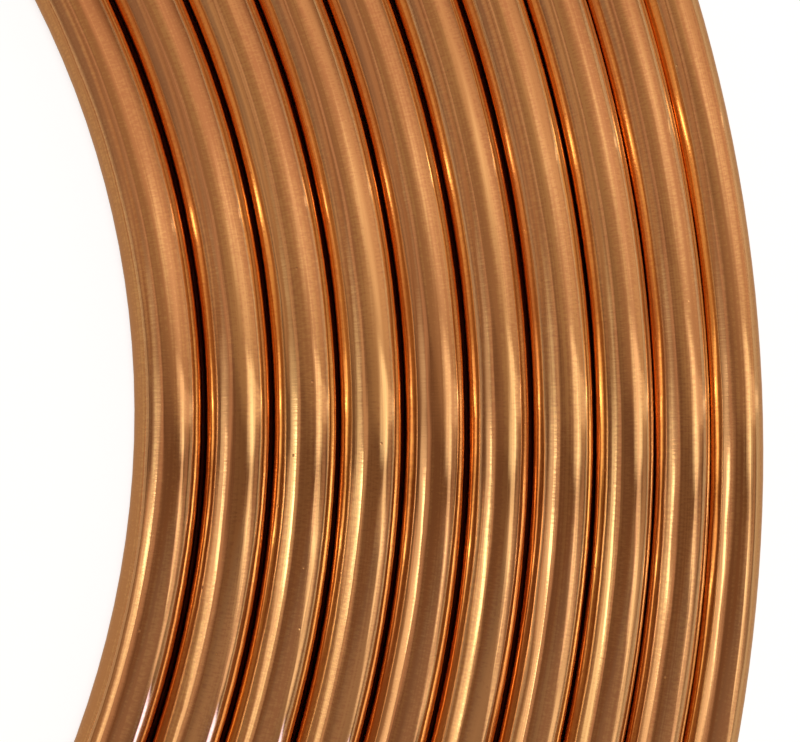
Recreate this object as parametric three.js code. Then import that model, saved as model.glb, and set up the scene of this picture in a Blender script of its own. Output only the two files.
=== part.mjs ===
// A coil of soft copper tube, wound flat from one unbroken length and lying on a level floor.
//
// The tube runs out from the eye in a spiral whose turns lie side by side in one layer. Units are
// millimetres and +Z is up. The origin is on the floor, under the middle of the coil's overall
// width and depth, and the spiral runs out counter-clockwise seen from above.

import * as THREE from 'three';

// The tube.
const TUBE_OUTSIDE_DIAMETER = 12.7;
const TUBE_WALL = 0.81;
const TUBE_LENGTH = 15240;

// How it is wound.
const EYE_DIAMETER = 330; // the drum that the first turn was bent round
const TURN_GAP = 0.3; // air between one turn and the next
const OUTER_END_AZIMUTH = THREE.MathUtils.degToRad(-90);

// Some of the outer turns have sprung up off the floor, into a low round crown.
const CROWN_RISE = 3.2;
const CROWN_TURN = 7.3; // turns out from the inner end, at the top of the crown
const CROWN_HALF_WIDTH = 3.3; // turns from the top of the crown to its foot

// How finely the round forms are cut into flats.
const SECTION_SIDES = 8;
const FACET_BUDGET = 12400;

const COPPER = new THREE.MeshStandardMaterial({
  color: 0xb5703c,
  roughness: 0.3,
  metalness: 0.95,
});

// Worked out from the sizes above.
const FULL_TURN = 2 * Math.PI;
const TUBE_RADIUS = TUBE_OUTSIDE_DIAMETER / 2;
const FIRST_RADIUS = EYE_DIAMETER / 2 + TUBE_RADIUS;
const TURN_PITCH = TUBE_OUTSIDE_DIAMETER + TURN_GAP;
const GROWTH = TURN_PITCH / FULL_TURN; // radius gained per radian

// A spiral of radius FIRST_RADIUS + GROWTH a is FIRST_RADIUS a + GROWTH a^2 / 2 long, so the angle
// that uses up the whole tube is the root of that quadratic.
const WOUND_ANGLE = (Math.hypot(FIRST_RADIUS, Math.sqrt(2 * GROWTH * TUBE_LENGTH)) - FIRST_RADIUS)
  / GROWTH;
const INNER_END_AZIMUTH = OUTER_END_AZIMUTH - WOUND_ANGLE;

// Every turn has the same number of steps, a multiple of four, so that the flats of neighbouring
// turns lie side by side and the coil is as wide as the true spiral along X and Y.
const FACETS_PER_STEP = 4 * SECTION_SIDES;
const TURNS = WOUND_ANGLE / FULL_TURN;
const STEPS_PER_TURN = 4 * Math.floor(FACET_BUDGET / FACETS_PER_STEP / TURNS / 4);
const STEP_ANGLE = FULL_TURN / STEPS_PER_TURN;
const STEPS = Math.round(WOUND_ANGLE / STEP_ANGLE);

/** Centre line of the wound tube, from its inner end to its outer end. */
class TubePath extends THREE.Curve {
  /** Angle wound so far. All steps are equal but the first, which takes up what is left over. */
  angleAt(t) {
    const firstStep = WOUND_ANGLE - (STEPS - 1) * STEP_ANGLE;
    const step = t * STEPS;
    if (step <= 1) {
      return step * firstStep;
    }
    return firstStep + (step - 1) * STEP_ANGLE;
  }

  /** How far through the crown the tube is: -1 and 1 at its feet and 0 at its top. */
  crownPhase(angle) {
    const phase = (angle / FULL_TURN - CROWN_TURN) / CROWN_HALF_WIDTH;
    return THREE.MathUtils.clamp(phase, -1, 1);
  }

  getPoint(t, target = new THREE.Vector3()) {
    const angle = this.angleAt(t);
    const azimuth = INNER_END_AZIMUTH + angle;
    const radius = FIRST_RADIUS + GROWTH * angle;
    const rise = CROWN_RISE * (1 + Math.cos(Math.PI * this.crownPhase(angle))) / 2;
    return target.set(radius * Math.cos(azimuth), radius * Math.sin(azimuth), TUBE_RADIUS + rise);
  }

  getTangent(t, target = new THREE.Vector3()) {
    const angle = this.angleAt(t);
    const azimuth = INNER_END_AZIMUTH + angle;
    const radius = FIRST_RADIUS + GROWTH * angle;
    const climb = -CROWN_RISE * Math.sin(Math.PI * this.crownPhase(angle))
      / (4 * CROWN_HALF_WIDTH);
    return target.set(
      GROWTH * Math.cos(azimuth) - radius * Math.sin(azimuth),
      GROWTH * Math.sin(azimuth) + radius * Math.cos(azimuth),
      climb,
    ).normalize();
  }

  /** The steps follow the wound angle and not the length along the tube. */
  getUtoTmapping(u) {
    return u;
  }
}

/** Corners of the polygon whose flats touch a circle, with one flat facing the shape's +X. */
function flatsAround(radius) {
  const corner = radius / Math.cos(Math.PI / SECTION_SIDES);
  return Array.from({ length: SECTION_SIDES }, (_, i) => {
    const angle = (i + 0.5) * FULL_TURN / SECTION_SIDES;
    return new THREE.Vector2(corner * Math.cos(angle), corner * Math.sin(angle));
  });
}

/** The tube's cross-section, open at its bore. The shape's +X points down once it is swept. */
function tubeSection() {
  const section = new THREE.Shape(flatsAround(TUBE_RADIUS));
  section.holes.push(new THREE.Path(flatsAround(TUBE_RADIUS - TUBE_WALL)));
  return section;
}

function copperTube() {
  const geometry = new THREE.ExtrudeGeometry(tubeSection(), {
    steps: STEPS,
    extrudePath: new TubePath(),
  });
  const mesh = new THREE.Mesh(geometry, COPPER);
  mesh.name = 'copper_tube';

  // A spiral reaches further on the side where it ends, so the middle is not on its axis.
  geometry.computeBoundingBox();
  const middle = geometry.boundingBox.getCenter(new THREE.Vector3());
  mesh.position.set(-middle.x, -middle.y, 0);
  return mesh;
}

const coil = new THREE.Group();
coil.name = 'copper_tube_coil';
coil.add(copperTube());

export default coil;
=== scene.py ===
"""The looks of a flat coil of soft copper tube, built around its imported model.

One length of drawn tube is made straight, with its wall and its two deburred ends, and is then
wound into the spiral. It is finished in bare drawn copper and lies in a plain soft studio. Lengths
are in metres unless another unit is given.
"""

import logging
import math
from collections.abc import Callable
from dataclasses import dataclass, field
from enum import Enum

import bpy
import numpy as np
from mathutils import Matrix


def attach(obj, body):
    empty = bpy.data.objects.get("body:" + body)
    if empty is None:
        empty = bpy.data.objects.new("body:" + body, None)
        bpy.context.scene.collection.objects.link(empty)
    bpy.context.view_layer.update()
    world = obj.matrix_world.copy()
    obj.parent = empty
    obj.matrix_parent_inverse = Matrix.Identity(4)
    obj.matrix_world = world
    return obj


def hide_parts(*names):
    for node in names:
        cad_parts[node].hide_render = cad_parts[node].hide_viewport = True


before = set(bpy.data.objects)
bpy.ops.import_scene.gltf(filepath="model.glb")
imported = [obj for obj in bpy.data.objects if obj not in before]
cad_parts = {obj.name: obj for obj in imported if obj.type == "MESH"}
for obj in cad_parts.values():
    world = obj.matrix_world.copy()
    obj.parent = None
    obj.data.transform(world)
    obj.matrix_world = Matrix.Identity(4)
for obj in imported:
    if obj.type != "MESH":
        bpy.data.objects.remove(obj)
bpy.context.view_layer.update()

LOG = logging.getLogger("copper_coil")
REST_ATTRIBUTE = "drawn"

# Corners closer than this along the tube are level with each other, in metres.
SNAP = 1e-4

# Ray depths past which a lamp and the air are seen deep between the turns, in reflections of
# reflections, and not straight in the metal.
LAMP_DEPTH = 2.5
AIR_DEPTH = 3.5

# The colours of the air run from minus to plus this sine of the lean towards +Y.
AIR_REACH = 0.5

# Shares of a lamp's half width and half height over which a cloth with firm edges fades out.
CRISP = (0.4, 0.5)


class Tint(Enum):
    """Colours that a lamp's cloth or the air can have."""

    WHITE = (1.0, 1.0, 1.0)
    DAYLIGHT = (1.0, 0.92, 0.77)
    LAMPLIGHT = (1.0, 0.85, 0.72)
    PLASTER = (1.0, 0.68, 0.53)
    WARM = (1.0, 0.63, 0.40)
    DUSK = (1.0, 0.65, 0.49)
    EMBER = (1.0, 0.55, 0.35)
    SKY = (0.44, 0.48, 1.0)


def select_only(piece: bpy.types.Object) -> None:
    """Deselect everything and make one piece the selected and active one.

    Args:
        piece: The object that the next operators act on.
    """
    bpy.ops.object.select_all(action="DESELECT")
    piece.select_set(True)
    bpy.context.view_layer.objects.active = piece


def vertex_places(mesh: bpy.types.Mesh) -> np.ndarray:
    """Read a mesh's corners.

    Args:
        mesh: The mesh to read.

    Returns:
        One row of x, y and z for each vertex, in metres.
    """
    flat = np.empty(len(mesh.vertices) * 3, np.float32)
    mesh.vertices.foreach_get("co", flat)
    return flat.reshape(-1, 3)


def pick_edges(
    piece: bpy.types.Object, wanted: Callable[[np.ndarray, np.ndarray], np.ndarray]
) -> None:
    """Select some edges of a mesh, deselect the rest and go into edit mode.

    Args:
        piece: The object whose edges are picked.
        wanted: Tells from the two ends of each edge whether it is picked.
    """
    select_only(piece)
    bpy.ops.object.mode_set(mode="EDIT")
    bpy.ops.mesh.select_mode(type="EDGE")
    bpy.ops.mesh.select_all(action="DESELECT")
    bpy.ops.object.mode_set(mode="OBJECT")
    mesh = piece.data
    places = vertex_places(mesh)
    ends = np.empty(len(mesh.edges) * 2, np.int32)
    mesh.edges.foreach_get("vertices", ends)
    mesh.edges.foreach_set("select", wanted(places[ends[0::2]], places[ends[1::2]]))
    bpy.ops.object.mode_set(mode="EDIT")


@dataclass
class TubeStock:
    """The straight tube as it leaves the draw bench. It lies along X from the origin.

    Attributes:
        outside_diameter: Across the outside of the tube.
        wall: Thickness of the tube's wall.
        length: The whole length that was cut off.
        deburr: Width of the broken edge round both rims.
        deburr_steps: Flats across that broken edge.
        rim_angle: Degrees that an edge has to turn to be broken.
        outer_sides: Flats round the outer skin.
        bore_sides: Flats round the bore.
        outer_cuts: Cuts of each span of the outer skin, for one pass of subdivision after another.
        bore_cuts: The same for the bore.
    """

    outside_diameter: float = 0.0127
    wall: float = 0.00081
    length: float = 15.24
    deburr: float = 0.00015
    deburr_steps: int = 2
    rim_angle: float = 60.0
    outer_sides: int = 32
    bore_sides: int = 24
    outer_cuts: tuple[int, ...] = (47, 49)
    bore_cuts: tuple[int, ...] = (26, 26)

    def make(self, name: str) -> bpy.types.Object:
        """Make the tube with its wall, its rims and its rest coordinates.

        Args:
            name: What the piece is called.

        Returns:
            The straight tube, open from end to end.
        """
        bore_radius = self.outside_diameter / 2 - self.wall
        tube = self._skin(name, self.outside_diameter / 2, self.outer_sides, self.outer_cuts)
        bore = self._skin("bore", bore_radius, self.bore_sides, self.bore_cuts)
        self._close_rims(tube, bore)
        self._break_edges(tube)
        rest = tube.data.attributes.new(REST_ATTRIBUTE, "FLOAT_VECTOR", "POINT")
        rest.data.foreach_set("vector", vertex_places(tube.data).ravel())
        return tube

    def _skin(
        self, name: str, radius: float, sides: int, passes: tuple[int, ...]
    ) -> bpy.types.Object:
        """Make an open round skin, cut across into short spans so that it can bend.

        Args:
            name: What the skin is called.
            radius: The skin's radius.
            sides: Flats round the skin.
            passes: Cuts of each span, for one pass of subdivision after another.

        Returns:
            The skin, along X from the origin.
        """
        bpy.ops.object.select_all(action="DESELECT")
        bpy.ops.mesh.primitive_cylinder_add(
            vertices=sides,
            radius=radius,
            depth=self.length,
            end_fill_type="NOTHING",
            location=(self.length / 2, 0, 0),
            rotation=(0, math.pi / 2, 0),
        )
        skin = bpy.context.object
        skin.name = skin.data.name = name
        bpy.ops.object.transform_apply(location=True, rotation=True, scale=True)
        for cuts in passes:
            pick_edges(skin, lambda start, stop: np.abs(stop[:, 0] - start[:, 0]) > SNAP)
            bpy.ops.mesh.subdivide(number_cuts=cuts)
            bpy.ops.object.mode_set(mode="OBJECT")
        return skin

    def _close_rims(self, tube: bpy.types.Object, bore: bpy.types.Object) -> None:
        """Join the bore into the tube and close the wall at both ends.

        Args:
            tube: The outer skin, which becomes the whole tube.
            bore: The skin of the bore, which is used up.
        """
        select_only(tube)
        bore.select_set(True)
        bpy.ops.object.join()
        for end in (0.0, self.length):
            pick_edges(
                tube,
                lambda start, stop: (np.abs(start[:, 0] - end) < SNAP)
                & (np.abs(stop[:, 0] - end) < SNAP),
            )
            bpy.ops.mesh.bridge_edge_loops()
            bpy.ops.object.mode_set(mode="OBJECT")
        bpy.ops.object.mode_set(mode="EDIT")
        bpy.ops.mesh.select_all(action="SELECT")
        bpy.ops.mesh.normals_make_consistent(inside=False)
        bpy.ops.object.mode_set(mode="OBJECT")

    def _break_edges(self, tube: bpy.types.Object) -> None:
        """Break the sharp edges of both rims.

        Args:
            tube: The tube, with its wall.
        """
        select_only(tube)
        rims = tube.modifiers.new("deburr", "BEVEL")
        rims.width = self.deburr
        rims.segments = self.deburr_steps
        rims.limit_method = "ANGLE"
        rims.angle_limit = math.radians(self.rim_angle)
        bpy.ops.object.modifier_apply(modifier=rims.name)


@dataclass
class Winding:
    """The flat spiral that the tube is wound in, from the eye outwards.

    Attributes:
        pitch: From the middle of one turn to the middle of the next.
        first_radius: From the coil's axis to the middle of the tube at its inner end.
        tube_radius: Half the tube's outside diameter, which is how high it lies.
        length: The length of tube to wind.
        outer_end: Azimuth of the outer end, in degrees.
        crown_rise: How far the crown of the outer turns stands up off the floor.
        crown_turn: Turns out from the inner end, at the top of the crown.
        crown_half_width: Turns from the top of the crown to its foot.
    """

    pitch: float
    first_radius: float
    tube_radius: float
    length: float
    outer_end: float = -90.0
    crown_rise: float = 0.0032
    crown_turn: float = 7.3
    crown_half_width: float = 3.3

    @property
    def growth(self) -> float:
        """Radius gained per radian."""
        return self.pitch / math.tau

    @property
    def wound_angle(self) -> float:
        """Angle that uses up the whole length, in radians."""
        reach = math.hypot(self.first_radius, math.sqrt(2 * self.growth * self.length))
        return (reach - self.first_radius) / self.growth

    def centre_line(self, steps: int) -> np.ndarray:
        """Points along the middle of the tube, about the coil's own axis.

        Args:
            steps: How many equal angles the winding is stepped in.

        Returns:
            One row of x, y and z for each point, from the inner end to the outer end.
        """
        angle = np.linspace(0, self.wound_angle, steps + 1)
        azimuth = math.radians(self.outer_end) - self.wound_angle + angle
        radius = self.first_radius + self.growth * angle
        phase = (angle / math.tau - self.crown_turn) / self.crown_half_width
        crown = (1 + np.cos(np.pi * np.clip(phase, -1, 1))) / 2
        height = self.tube_radius + self.crown_rise * crown
        return np.stack([radius * np.cos(azimuth), radius * np.sin(azimuth), height], -1)

    def guide(self, steps: int = 4000) -> bpy.types.Object:
        """Draw the centre line as a curve that a tube can be bent along.

        Args:
            steps: How many equal angles the curve is stepped in.

        Returns:
            The curve, in the scene for as long as the bending takes.
        """
        curve = bpy.data.curves.new("winding_guide", "CURVE")
        curve.dimensions = "3D"
        curve.twist_mode = "Z_UP"
        line = curve.splines.new("POLY")
        line.points.add(steps)
        places = np.ones((steps + 1, 4), np.float32)
        places[:, :3] = self.centre_line(steps)
        line.points.foreach_set("co", places.ravel())
        guide = bpy.data.objects.new("winding_guide", curve)
        bpy.context.scene.collection.objects.link(guide)
        return guide


@dataclass
class Recipe:
    """A node tree that is built up step by step.

    Attributes:
        tree: The tree of a material, a lamp or the air.
    """

    tree: bpy.types.NodeTree

    def add(self, kind: str, **settings: object) -> bpy.types.Node:
        """Add a node.

        Args:
            kind: The node's type, without its ShaderNode prefix.
            **settings: Properties of the node, by name.

        Returns:
            The new node.
        """
        node = self.tree.nodes.new("ShaderNode" + kind)
        for name, value in settings.items():
            setattr(node, name, value)
        return node

    def join(self, source: bpy.types.NodeSocket, target: bpy.types.NodeSocket) -> None:
        """Link an output to an input."""
        self.tree.links.new(source, target)

    def maths(self, operation: str, first: object, second: object) -> bpy.types.NodeSocket:
        """Combine two values, each of them an output or a plain number.

        Args:
            operation: What is done with them, as Blender's Math node names it.
            first: The first value.
            second: The second value.

        Returns:
            The result.
        """
        node = self.add("Math", operation=operation)
        for socket, value in zip(node.inputs, (first, second)):
            if isinstance(value, bpy.types.NodeSocket):
                self.join(value, socket)
            else:
                socket.default_value = value
        return node.outputs["Value"]

    def spread(
        self, value: bpy.types.NodeSocket, source: tuple[float, float], target: tuple[float, float]
    ) -> bpy.types.NodeSocket:
        """Move a value smoothly from one range to another.

        Args:
            value: The value to move.
            source: The range that it comes from.
            target: The range that it goes to.

        Returns:
            The moved value, held within the target range.
        """
        node = self.add("MapRange", interpolation_type="SMOOTHSTEP")
        for name, number in zip(("From Min", "From Max", "To Min", "To Max"), (*source, *target)):
            node.inputs[name].default_value = number
        self.join(value, node.inputs["Value"])
        return node.outputs["Result"]

    def blend(
        self,
        share: bpy.types.NodeSocket,
        first: tuple[float, float, float],
        second: tuple[float, float, float],
    ) -> bpy.types.NodeSocket:
        """Blend two colours.

        Args:
            share: How much of the second colour there is, from 0 to 1.
            first: The first colour.
            second: The second colour.

        Returns:
            The blended colour.
        """
        node = self.add("Mix", data_type="RGBA")
        self.join(share, node.inputs["Factor"])
        node.inputs["A"].default_value = (*first, 1)
        node.inputs["B"].default_value = (*second, 1)
        return node.outputs["Result"]


@dataclass(frozen=True)
class Marks:
    """A noise of marks on the tube that are longer one way than the other.

    Attributes:
        along: Length of a mark along the tube, in metres.
        across: Its length round the tube, in metres.
        detail: How many finer noises lie on the first.
    """

    along: float
    across: float
    detail: float = 2.0

    def draw(self, recipe: Recipe, rest: bpy.types.NodeSocket) -> bpy.types.NodeSocket:
        """Add the noise to a tree.

        Args:
            recipe: The tree to add to.
            rest: The tube's rest coordinates.

        Returns:
            The noise, from 0 to 1.
        """
        stretch = recipe.add("Mapping")
        stretch.inputs["Scale"].default_value = (1 / self.along, 1 / self.across, 1 / self.across)
        noise = recipe.add("TexNoise")
        noise.inputs["Scale"].default_value = 1.0
        noise.inputs["Detail"].default_value = self.detail
        recipe.join(rest, stretch.inputs["Vector"])
        recipe.join(stretch.outputs["Vector"], noise.inputs["Vector"])
        return noise.outputs["Fac"]


@dataclass(frozen=True)
class DrawnCopper:
    """Bare copper, bright from the draw bench, with the fine marks that drawing leaves.

    Attributes:
        copper: Colour of the clean metal.
        flushed: Colour where a light flush of tarnish has started.
        flush: The streaks, patches and specks whose noises are added up for the flush.
        flush_range: Sums of those noises at which the flush starts and is full.
        roughness: Gloss of the drawn skin.
        gloss: The streaks of the gloss.
        gloss_range: Values of that noise between which the gloss changes.
        gloss_change: How far the roughness goes below and above its middle value.
        spread: How much further a highlight spreads round the tube than along it.
        waves: The slight flats and swells that bending leaves.
        wave_depth: Their depth, in metres.
        lines: The lines that the die leaves along the tube.
        line_depth: Their depth, in metres.
        ripples: The faint ripples across the tube.
        ripple_depth: Their depth, in metres.
        pit_spacing: From one pit to the next, in metres.
        pit_share: Share of that spacing that a pit's radius takes.
        pit_depth: Depth of the pits, in metres.
    """

    copper: tuple[float, float, float] = (0.89, 0.575, 0.27)
    flushed: tuple[float, float, float] = (0.77, 0.445, 0.215)
    flush: tuple[Marks, ...] = (
        Marks(0.05, 0.006, 3.0),
        Marks(0.30, 0.04),
        Marks(0.45, 0.0016),
        Marks(0.30, 0.0005),
        Marks(0.0004, 0.0012),
    )
    flush_range: tuple[float, float] = (2.28, 2.72)
    roughness: float = 0.065
    gloss: Marks = Marks(0.12, 0.0004, 3.0)
    gloss_range: tuple[float, float] = (0.3, 0.7)
    gloss_change: tuple[float, float] = (-0.03, 0.05)
    spread: float = 1.0
    waves: Marks = Marks(0.06, 0.006)
    wave_depth: float = 0.00034
    lines: Marks = Marks(0.60, 0.0007)
    line_depth: float = 0.000015
    ripples: Marks = Marks(0.0004, 0.006)
    ripple_depth: float = 0.0000015
    pit_spacing: float = 0.006
    pit_share: float = 0.05
    pit_depth: float = 0.00003

    def material(self) -> bpy.types.Material:
        """Build the finish as a node material.

        Returns:
            The material, which reads the tube's rest coordinates and its own UV map.
        """
        material = bpy.data.materials.new("drawn_copper")
        material.use_nodes = True
        recipe = Recipe(material.node_tree)
        shader = material.node_tree.nodes["Principled BSDF"]
        shader.inputs["Metallic"].default_value = 1.0
        shader.inputs["Anisotropic"].default_value = self.spread
        rest = recipe.add("Attribute", attribute_name=REST_ATTRIBUTE).outputs["Vector"]
        recipe.join(self._colour(recipe, rest), shader.inputs["Base Color"])
        recipe.join(self._gloss(recipe, rest), shader.inputs["Roughness"])
        recipe.join(self._relief(recipe, rest), shader.inputs["Normal"])
        around = recipe.add("Tangent", direction_type="UV_MAP")
        recipe.join(around.outputs["Tangent"], shader.inputs["Tangent"])
        return material

    def _colour(self, recipe: Recipe, rest: bpy.types.NodeSocket) -> bpy.types.NodeSocket:
        """Colour the metal, with flushed streaks and patches.

        Args:
            recipe: The tree to add to.
            rest: The rest coordinates.

        Returns:
            The colour.
        """
        noises = [marks.draw(recipe, rest) for marks in self.flush]
        total = noises[0]
        for noise in noises[1:]:
            total = recipe.maths("ADD", total, noise)
        share = recipe.spread(total, self.flush_range, (0.0, 1.0))
        return recipe.blend(share, self.copper, self.flushed)

    def _gloss(self, recipe: Recipe, rest: bpy.types.NodeSocket) -> bpy.types.NodeSocket:
        """Vary the roughness in streaks along the tube.

        Args:
            recipe: The tree to add to.
            rest: The rest coordinates.

        Returns:
            The roughness.
        """
        least, most = (self.roughness + change for change in self.gloss_change)
        return recipe.spread(self.gloss.draw(recipe, rest), self.gloss_range, (least, most))

    def _relief(self, recipe: Recipe, rest: bpy.types.NodeSocket) -> bpy.types.NodeSocket:
        """Raise the swells, the die's lines, the ripples across them and a few pits.

        Args:
            recipe: The tree to add to.
            rest: The rest coordinates.

        Returns:
            The normal.
        """
        cells = recipe.add("TexVoronoi")
        cells.inputs["Scale"].default_value = 1 / self.pit_spacing
        recipe.join(rest, cells.inputs["Vector"])
        pits = recipe.spread(cells.outputs["Distance"], (0.0, self.pit_share), (0.0, 1.0))
        normal = None
        for height, depth in (
            (self.waves.draw(recipe, rest), self.wave_depth),
            (self.lines.draw(recipe, rest), self.line_depth),
            (self.ripples.draw(recipe, rest), self.ripple_depth),
            (pits, self.pit_depth),
        ):
            bump = recipe.add("Bump")
            bump.inputs["Strength"].default_value = 1.0
            bump.inputs["Distance"].default_value = depth
            recipe.join(height, bump.inputs["Height"])
            if normal is not None:
                recipe.join(normal, bump.inputs["Normal"])
            normal = bump.outputs["Normal"]
        return normal


@dataclass
class CopperCoil:
    """The coil: one length of tube wound into a flat spiral.

    Attributes:
        stock: The straight tube that it is wound from.
        finish: What its surface is like.
        eye_diameter: The drum that the first turn was bent round.
        turn_gap: Air between one turn and the next.
        smooth_angle: Degrees between two flats up to which they are shaded as one.
    """

    stock: TubeStock = field(default_factory=TubeStock)
    finish: DrawnCopper = field(default_factory=DrawnCopper)
    eye_diameter: float = 0.330
    turn_gap: float = 0.0003
    smooth_angle: float = 35.0

    @property
    def winding(self) -> Winding:
        """The spiral that this stock fills."""
        radius = self.stock.outside_diameter / 2
        return Winding(
            pitch=self.stock.outside_diameter + self.turn_gap,
            first_radius=self.eye_diameter / 2 + radius,
            tube_radius=radius,
            length=self.stock.length,
        )

    def build(self) -> bpy.types.Object:
        """Make the tube, wind it and put it in its place on the floor.

        Returns:
            The finished coil, with its place in its mesh.
        """
        tube = self.stock.make("copper_coil")
        guide = self.winding.guide()
        select_only(tube)
        bend = tube.modifiers.new("wind", "CURVE")
        bend.object = guide
        bend.deform_axis = "POS_X"
        bpy.ops.object.modifier_apply(modifier=bend.name)
        bpy.data.objects.remove(guide)
        self._place(tube)
        self._dress(tube)
        return tube

    def _place(self, tube: bpy.types.Object) -> None:
        """Move the coil so that the middle of its footprint is at the origin.

        Args:
            tube: The coil, wound about its own axis.
        """
        places = vertex_places(tube.data)
        low, high = places.min(0), places.max(0)
        move = (-(low[0] + high[0]) / 2, -(low[1] + high[1]) / 2, -low[2])
        select_only(tube)
        bpy.ops.object.mode_set(mode="EDIT")
        bpy.ops.mesh.select_all(action="SELECT")
        bpy.ops.transform.translate(value=tuple(float(step) for step in move))
        bpy.ops.object.mode_set(mode="OBJECT")

    def _dress(self, tube: bpy.types.Object) -> None:
        """Smooth the tube's skin and give it its finish.

        Args:
            tube: The coil in its place.
        """
        select_only(tube)
        bpy.ops.object.shade_smooth_by_angle(angle=math.radians(self.smooth_angle))
        tube.data.materials.clear()
        tube.data.materials.append(self.finish.material())


@dataclass(frozen=True)
class Softbox:
    """A soft lamp with a flat cloth, brightest in the middle, hung round the coil.

    Attributes:
        name: What the lamp is called.
        tilt: Degrees from overhead towards +X.
        lean: Degrees from there towards +Y.
        width: Degrees that the cloth fills along the tilt.
        height: Degrees that the cloth fills along the lean.
        level: Brightness of the middle of the cloth, where 1 is white.
        turn: Degrees that the cloth is turned in its own plane.
        tint: Colour of the cloth.
        fade: Share of the half width and half height over which the cloth fades out.
        distance: Metres from the coil.
        first: Share of the level that shows in a first reflection.
        later: Share that shows in the reflections of reflections, where the cloth is white.
    """

    name: str
    tilt: float
    lean: float
    width: float
    height: float
    level: float
    turn: float = 0.0
    tint: Tint = Tint.DAYLIGHT
    fade: tuple[float, float] = (0.9, 0.9)
    distance: float = 2.0
    first: float = 1.0
    later: float = 1.6

    def hang(self, aim: tuple[float, float, float]) -> bpy.types.Object:
        """Hang the lamp so that it faces a point.

        Args:
            aim: The point that the cloth faces.

        Returns:
            The lamp.
        """
        bpy.ops.object.light_add(type="AREA")
        lamp = bpy.context.object
        lamp.name = lamp.data.name = self.name
        lamp.matrix_world = self._pose(aim)
        lamp.data.shape = "RECTANGLE"
        lamp.data.size = 2 * self.distance * math.tan(math.radians(self.width / 2))
        lamp.data.size_y = 2 * self.distance * math.tan(math.radians(self.height / 2))
        lamp.data.energy = self.level * math.pi * lamp.data.size * lamp.data.size_y
        self._soften(lamp.data)
        return lamp

    def _pose(self, aim: tuple[float, float, float]) -> Matrix:
        """Where the lamp hangs and how it is turned.

        Args:
            aim: The point that the cloth faces.

        Returns:
            The lamp's world matrix.
        """
        tilt, lean, turn = (math.radians(a) for a in (self.tilt, self.lean, self.turn))
        face = Matrix.Rotation(tilt, 4, "Y") @ Matrix.Rotation(-lean, 4, "X")
        face = face @ Matrix.Rotation(turn, 4, "Z")
        return Matrix.Translation(aim) @ face @ Matrix.Translation((0, 0, self.distance))

    def _soften(self, light: bpy.types.Light) -> None:
        """Fade the cloth out towards its edges, and set how it shows in later reflections.

        Args:
            light: The lamp's light.
        """
        light.use_nodes = True
        recipe = Recipe(light.node_tree)
        cloth = recipe.add("SeparateXYZ")
        recipe.join(recipe.add("TexCoord").outputs["UV"], cloth.inputs["Vector"])
        levels = []
        for axis, fade in zip(("X", "Y"), self.fade):
            off = recipe.maths("SUBTRACT", cloth.outputs[axis], 0.5)
            far = recipe.maths("ABSOLUTE", off, 0.0)
            levels.append(recipe.spread(far, (0.5 - fade / 2, 0.5), (1.0, 0.0)))
        level = recipe.maths("MULTIPLY", *levels)
        depth = recipe.add("LightPath").outputs["Ray Depth"]
        deep = recipe.maths("GREATER_THAN", depth, LAMP_DEPTH)
        gain = recipe.maths("MULTIPLY", deep, self.later - self.first)
        level = recipe.maths("MULTIPLY", level, recipe.maths("ADD", gain, self.first))
        emission = light.node_tree.nodes["Emission"].inputs
        recipe.join(level, emission["Strength"])
        colour = recipe.blend(deep, self.tint.value, Tint.WHITE.value)
        recipe.join(colour, emission["Color"])


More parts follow.
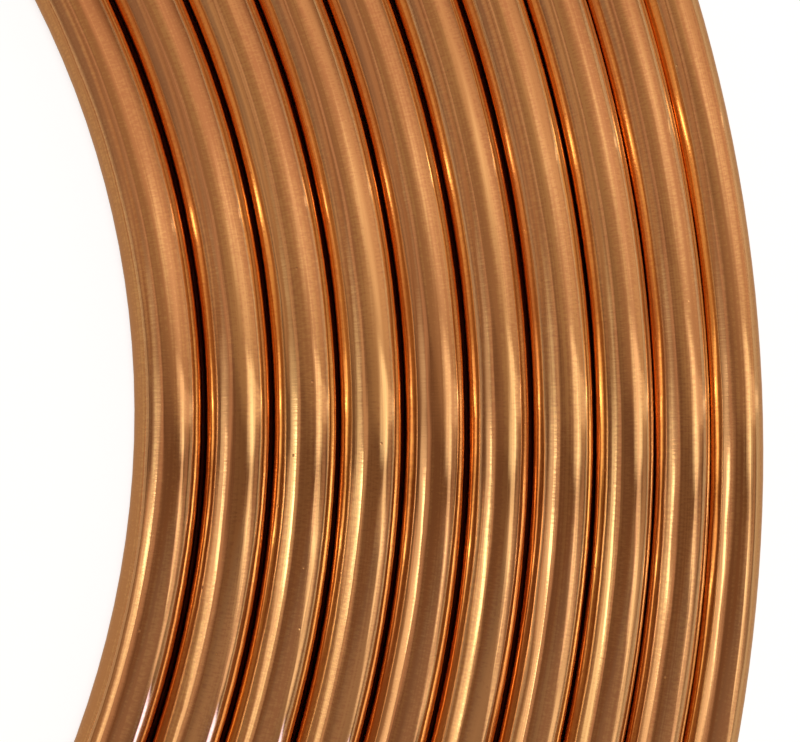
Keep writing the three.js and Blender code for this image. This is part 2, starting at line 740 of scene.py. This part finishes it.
@dataclass
class Studio:
    """A plain studio: a pale floor, soft lamps and a camera that looks down on the coil.

    Attributes:
        camera_place: Where the camera stands.
        camera_turn: The camera's turn about X, Y and Z, in degrees.
        lens: Focal length of the lens, in millimetres.
        frame_width: Width of the frame behind the lens, in millimetres.
        clip: Nearest and furthest that the camera sees.
        aim: What the lamps face.
        air: The studio air, as sines of the lean towards +Y with a brightness and a colour each.
        air_gain: How much brighter the air is deep between the turns.
        air_floor: Share of the air's brightness that is left near the floor.
        air_rise: Sines of the height between which the air gets its full brightness.
        floor_size: Length and width of the floor.
        floor_glow: Brightness that the floor shows to the camera by itself.
        floor_sheen: Colour that the floor shows in metal and glass by itself.
        floor_white: Colour of the floor under the lamps.
        floor_painted_shade: Painted shade: the floor's colour between the turns, lit only by
            copper.
        shade_reach: How far over the floor copper casts its painted shade.
        shade_range: Openness of the floor at which its painted shade is darkest and at which it is
            fully lit.
        backdrop_radius: From the middle of the floor to the pale wall round it.
        backdrop_height: Height of that wall.
        backdrop_sides: Flats round that wall.
        backdrop_sheen: Colour that the wall shows in metal and glass by itself.
        lamps: The softboxes.
    """

    camera_place: tuple[float, float, float] = (0.14578, 0.0011, 0.2876)
    camera_turn: tuple[float, float, float] = (3.673, -15.899, 1.575)
    lens: float = 67.1
    frame_width: float = 36.0
    clip: tuple[float, float] = (0.01, 200.0)
    aim: tuple[float, float, float] = (0.235, 0.0, 0.012)
    air: tuple[tuple[float, float, Tint], ...] = (
        (-0.50, 0.07, Tint.DUSK),
        (-0.36, 0.23, Tint.DUSK),
        (-0.26, 0.33, Tint.DUSK),
        (-0.19, 0.355, Tint.DUSK),
        (-0.13, 0.32, Tint.DUSK),
        (-0.08, 0.25, Tint.DUSK),
        (-0.04, 0.225, Tint.EMBER),
        (-0.01, 0.195, Tint.EMBER),
        (0.018, 0.185, Tint.EMBER),
        (0.05, 0.355, Tint.WARM),
        (0.10, 0.385, Tint.WARM),
        (0.17, 0.40, Tint.WARM),
        (0.35, 0.34, Tint.EMBER),
    )
    air_gain: float = 0.4
    air_floor: float = 0.5
    air_rise: tuple[float, float] = (0.05, 0.5)
    floor_size: float = 40.0
    floor_glow: float = 0.92
    floor_sheen: tuple[float, float, float] = (0.34, 0.24, 0.155)
    floor_white: float = 0.4
    # Painted shade and copper bounce light, given to the floor's colour between the turns.
    floor_painted_shade: tuple[float, float, float] = (0.40, 0.06, 0.01)
    shade_reach: float = 0.02
    shade_range: tuple[float, float] = (0.15, 0.45)
    backdrop_radius: float = 19.0
    backdrop_height: float = 4.4
    backdrop_sides: int = 96
    backdrop_sheen: tuple[float, float, float] = (0.26, 0.17, 0.10)
    lamps: tuple[Softbox, ...] = (
        # The long highlight on the -X side of each turn, with its core and its soft edges.
        Softbox("left_key", -49.5, 2.8, 29, 6.4, 0.66, fade=CRISP, distance=8),
        Softbox("left_gain", -44.5, 3.2, 16, 6, 0.22, fade=CRISP, distance=8),
        Softbox("left_spill", -30, 0.9, 22, 4.8, 0.38, tint=Tint.PLASTER, distance=8),
        Softbox("left_core", -42.7, 1.5, 13, 1.3, 2.9, fade=(0.9, 0.7), distance=8),
        Softbox("left_skirt", -51, -0.1, 34, 3.4, 0.42, distance=8),
        Softbox("left_under", -47, -3.5, 44, 7.5, 0.25, tint=Tint.WARM, distance=8),
        Softbox("left_low", -69, -2.8, 18, 7, 0.28, tint=Tint.WARM),
        Softbox("left_tail", -66, 2.4, 11, 2.8, 0.50, tint=Tint.PLASTER),
        # The broad highlight on the +X side.
        Softbox("right_key", 40.5, 4.0, 38, 9.2, 0.74, fade=(0.7, 0.5)),
        Softbox("right_halo", 36, 13, 38, 24, 0.26, tint=Tint.LAMPLIGHT, later=1),
        Softbox("right_tail", 65, 5, 30, 4, 0.28, tint=Tint.LAMPLIGHT, fade=CRISP),
        Softbox("right_spot", 86, 5.0, 36, 2.2, 0.50, tint=Tint.LAMPLIGHT),
        Softbox("right_fill", 64, -4.0, 22, 28, 0.23, tint=Tint.PLASTER),
        # The arm that crosses it and runs towards -Y.
        Softbox("arm_halo", 38, -3.2, 34, 5, 0.15, tint=Tint.LAMPLIGHT),
        Softbox("arm_near", 46.5, -3.6, 22, 13, 0.77, turn=-40, tint=Tint.LAMPLIGHT, fade=CRISP),
        Softbox("arm_core", 47, -4.8, 11, 4, 0.75, turn=-30),
        Softbox("arm_far", 59.5, -12.6, 24, 14, 0.42, turn=-38, tint=Tint.LAMPLIGHT, fade=CRISP),
        Softbox("arm_tail", 63, -17, 26, 10, 0.34, tint=Tint.LAMPLIGHT),
        # The highlights towards +Y.
        Softbox("upper_strip", 21, 13.8, 28, 10, 0.30, turn=28),
        Softbox("upper_spot", 75, 22.0, 12, 1.4, 0.80, turn=6, tint=Tint.LAMPLIGHT),
        # Three lamps that show only between the turns, as the bright lines down there.
        Softbox("upper_glow", 41, 17.2, 24, 3.0, 3.00, turn=11, distance=8, first=0),
        Softbox("middle_glow", 46, 4.4, 18, 1.5, 4.00, distance=8, first=0),
        Softbox("lower_glow", 48, -4.6, 16, 1.5, 3.00, distance=8, first=0),
        # The room behind the lamps.
        Softbox("wall", 40, 22, 92, 46, 0.33, turn=-6, tint=Tint.PLASTER, fade=(0.5, 1.0), later=1),
        Softbox("window", 70, -24, 15, 6, 3.7, turn=-12, tint=Tint.SKY, fade=CRISP, later=0.25),
    )

    def build(self) -> None:
        """Set up the floor, the air, the lamps and the camera."""
        self._lay_floor(self._paper("studio_floor", self.floor_sheen))
        self._raise_backdrop(self._paper("studio_backdrop", self.backdrop_sheen))
        self._fill_air()
        for lamp in self.lamps:
            lamp.hang(self.aim)
        self._stand_camera()
        bpy.context.scene.view_settings.view_transform = "Standard"

    def _lay_floor(self, paper: bpy.types.Material) -> None:
        """Lay a wide floor under the coil.

        Args:
            paper: What the floor is covered with.
        """
        bpy.ops.object.select_all(action="DESELECT")
        bpy.ops.mesh.primitive_plane_add(size=self.floor_size, location=(0, 0, 0))
        floor = bpy.context.object
        floor.name = floor.data.name = "studio_floor"
        floor.data.materials.append(paper)

    def _raise_backdrop(self, paper: bpy.types.Material) -> None:
        """Raise a low round wall at the far end of the floor.

        Args:
            paper: What the wall is covered with.
        """
        bpy.ops.object.select_all(action="DESELECT")
        bpy.ops.mesh.primitive_cylinder_add(
            vertices=self.backdrop_sides,
            radius=self.backdrop_radius,
            depth=self.backdrop_height,
            end_fill_type="NOTHING",
            location=(0, 0, self.backdrop_height / 2),
        )
        wall = bpy.context.object
        wall.name = wall.data.name = "studio_backdrop"
        wall.data.materials.append(paper)

    def _paper(self, name: str, sheen: tuple[float, float, float]) -> bpy.types.Material:
        """Build the studio's pale paper: it shows white, keeps the coil's shadow and has painted
        shade.

        Args:
            name: What the material is called.
            sheen: Colour that the paper shows in metal and glass by itself.

        Returns:
            The material of the floor and the backdrop.
        """
        material = bpy.data.materials.new(name)
        material.use_nodes = True
        recipe = Recipe(material.node_tree)
        matt = material.node_tree.nodes["Principled BSDF"]
        matt.inputs["Roughness"].default_value = 1.0
        matt.inputs["Specular IOR Level"].default_value = 0.0
        path = recipe.add("LightPath").outputs
        mirrored = recipe.maths("MAXIMUM", path["Is Glossy Ray"], path["Is Transmission Ray"])
        shown = recipe.blend(mirrored, (self.floor_glow,) * 3, sheen)
        # Painted shade: by the coil and between the turns, ambient occlusion darkens the floor's
        # colour and dims its glow, also as the metal sees it.
        shade = recipe.add("AmbientOcclusion", samples=8)
        shade.inputs["Distance"].default_value = self.shade_reach
        painted_shade_openness = recipe.spread(shade.outputs["AO"], self.shade_range, (0.0, 1.0))
        paint_and_painted_shade = recipe.blend(painted_shade_openness, self.floor_painted_shade, (self.floor_white,) * 3)
        recipe.join(paint_and_painted_shade, matt.inputs["Base Color"])
        light = recipe.add("Emission")
        recipe.join(shown, light.inputs["Color"])
        # The glow is dimmed there too, as painted shade.
        recipe.join(painted_shade_openness, light.inputs["Strength"])
        both = recipe.add("AddShader")
        recipe.join(matt.outputs["BSDF"], both.inputs[0])
        recipe.join(light.outputs["Emission"], both.inputs[1])
        surface = material.node_tree.nodes["Material Output"].inputs["Surface"]
        recipe.join(both.outputs["Shader"], surface)
        return material

    def _fill_air(self) -> None:
        """Light the studio softly all round, brighter towards +Y and deep between the turns."""
        world = bpy.data.worlds.new("studio_air")
        bpy.context.scene.world = world
        world.use_nodes = True
        recipe = Recipe(world.node_tree)
        parts = recipe.add("SeparateXYZ")
        recipe.join(recipe.add("TexCoord").outputs["Generated"], parts.inputs["Vector"])
        lean = recipe.add("MapRange")
        lean.inputs["From Min"].default_value = -AIR_REACH
        lean.inputs["From Max"].default_value = AIR_REACH
        recipe.join(parts.outputs["Y"], lean.inputs["Value"])
        air = recipe.add("ValToRGB")
        stops = air.color_ramp.elements
        while len(stops) < len(self.air):
            stops.new(0.5)
        for stop, (sine, level, tint) in zip(stops, self.air):
            stop.position = (1 + sine / AIR_REACH) / 2
            stop.color = (*(level * part for part in tint.value), 1)
        recipe.join(lean.outputs["Result"], air.inputs["Fac"])
        background = world.node_tree.nodes["Background"].inputs
        recipe.join(air.outputs["Color"], background["Color"])
        depth = recipe.add("LightPath").outputs["Ray Depth"]
        deep = recipe.maths("GREATER_THAN", depth, AIR_DEPTH)
        gain = recipe.maths("MULTIPLY", deep, self.air_gain)
        height = recipe.spread(parts.outputs["Z"], self.air_rise, (self.air_floor, 1.0))
        level = recipe.maths("MULTIPLY", recipe.maths("ADD", gain, 1.0), height)
        recipe.join(level, background["Strength"])

    def _stand_camera(self) -> None:
        """Stand the camera over the coil and look through it."""
        bpy.ops.object.camera_add(
            location=self.camera_place,
            rotation=tuple(math.radians(turn) for turn in self.camera_turn),
        )
        camera = bpy.context.object
        camera.name = "studio_camera"
        camera.data.sensor_width = self.frame_width
        camera.data.sensor_fit = "HORIZONTAL"
        camera.data.lens = self.lens
        camera.data.clip_start, camera.data.clip_end = self.clip
        bpy.context.scene.camera = camera


def main() -> None:
    """Build the coil and its studio, and report each piece."""
    logging.basicConfig(level=logging.INFO, format="%(name)s: %(message)s")
    coil = CopperCoil()
    tube = coil.build()
    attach(tube, "root")
    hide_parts("copper_tube")
    faces = sum(len(face.vertices) - 2 for face in tube.data.polygons)
    LOG.info("%s: %.2f turns, %d triangles", tube.name, coil.winding.wound_angle / math.tau, faces)
    Studio().build()


if __name__ == "__main__":
    main()
